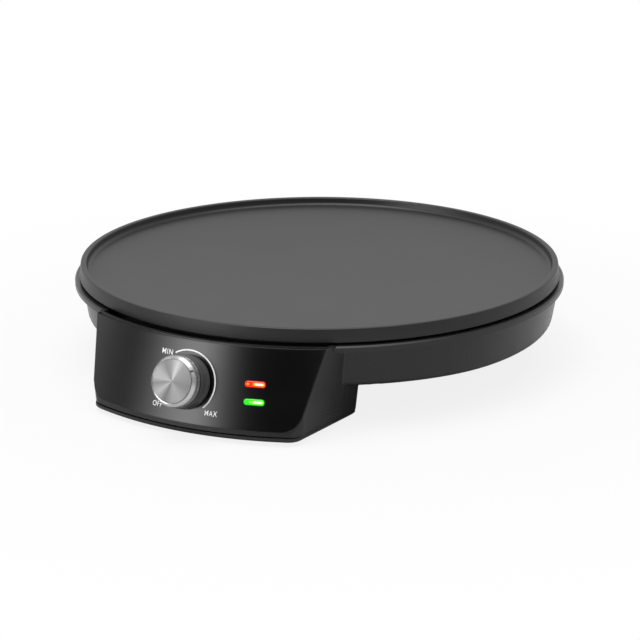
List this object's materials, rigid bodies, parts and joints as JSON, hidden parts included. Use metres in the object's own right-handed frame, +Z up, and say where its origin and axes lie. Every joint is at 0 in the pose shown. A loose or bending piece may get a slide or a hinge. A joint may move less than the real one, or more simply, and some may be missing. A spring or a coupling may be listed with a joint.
{
  "type": "electric crepe maker",
  "caption": "Countertop crepe maker: round non-stick griddle plate on a shallow black base, with a front control box, turning thermostat knob and pilot lights.",
  "frame": {"origin": "centre of the cooking surface, on its face", "axes": "+Z up, control box and knob at the front towards -Y, +X to the right of someone facing the knob"},
  "size_m": [0.316, 0.3516, 0.0633],
  "materials": {
    "plate": "satin non-stick coating on cast aluminium",
    "shell": "satin black moulded plastic",
    "panel": "high gloss black moulding",
    "cover": "fine textured black moulding",
    "knob": "satin dark moulding",
    "collar": "bright knurled ring",
    "disc": "spun face",
    "red_light": "clear red",
    "green_light": "clear green",
    "steel": "bright zinc plate",
    "sheath": "heat darkened tube",
    "ceramic": "unglazed",
    "brass": "plain",
    "bimetal": "plain",
    "rubber": "matt",
    "nylon": "natural nylon",
    "lamp_glass": "clear"
  },
  "bodies": {
    "base": {"base_shell": "shell", "bimetal_strip": "bimetal", "bottom_cover": "cover", "bracket_screws": "steel", "control_panel": "panel", "cord_gland": "rubber", "cover_screws": "steel", "earth_tag": "brass", "element_pins": "steel", "element_seals": "ceramic", "fixed_contact": "brass", "front_feet": "rubber", "fuse_and_earth_screws": "steel", "fuse_strap": "steel", "green_lens": "green_light", "griddle_plate": "plate", "heat_reflector": "steel", "heating_element": "sheath", "insulator_stack": "ceramic", "lamp_holder": "nylon", "neon_lamps": "lamp_glass", "panel_screws": "steel", "plate_screws": "steel", "plate_spacers": "steel", "rear_feet": "rubber", "red_lens": "red_light", "stack_rivet": "steel", "terminal_block": "nylon", "terminal_screws": "brass", "thermal_fuse": "nylon", "thermostat_bracket": "steel", "thermostat_bush": "brass"},
    "knob": {"knob_body": "knob", "knob_collar": "collar", "knob_disc": "disc", "knob_clip": "steel", "spindle": "steel"},
    "adjuster": {"adjuster": "brass", "adjuster_tip": "ceramic"},
    "contact_arm": {"contact_arm": "brass"}
  },
  "joints": [
    {"name": "knob_turn", "type": "hinge", "parent": "base", "child": "knob", "pos_m": [0, -0.17264, -0.0271], "axis": [0, -0.9478, 0.319], "range_deg": [-82, 181]},
    {"name": "adjuster_travel", "type": "slide", "parent": "base", "child": "adjuster", "axis": [0, -0.9478, 0.319], "range_m": [-0.0003, 0.00065]},
    {"name": "contact_arm_swing", "type": "hinge", "parent": "base", "child": "contact_arm", "pos_m": [-0.015, -0.1561, -0.03267], "axis": [0, 0.319, 0.9478], "range_deg": [-2.5, 1.2]}
  ],
  "couplings": [
    {"joint": "adjuster_travel", "follows": "knob_turn", "m_per_rad": 0.00019894},
    {"joint": "contact_arm_swing", "follows": "knob_turn", "ratio": -0.013263}
  ]
}
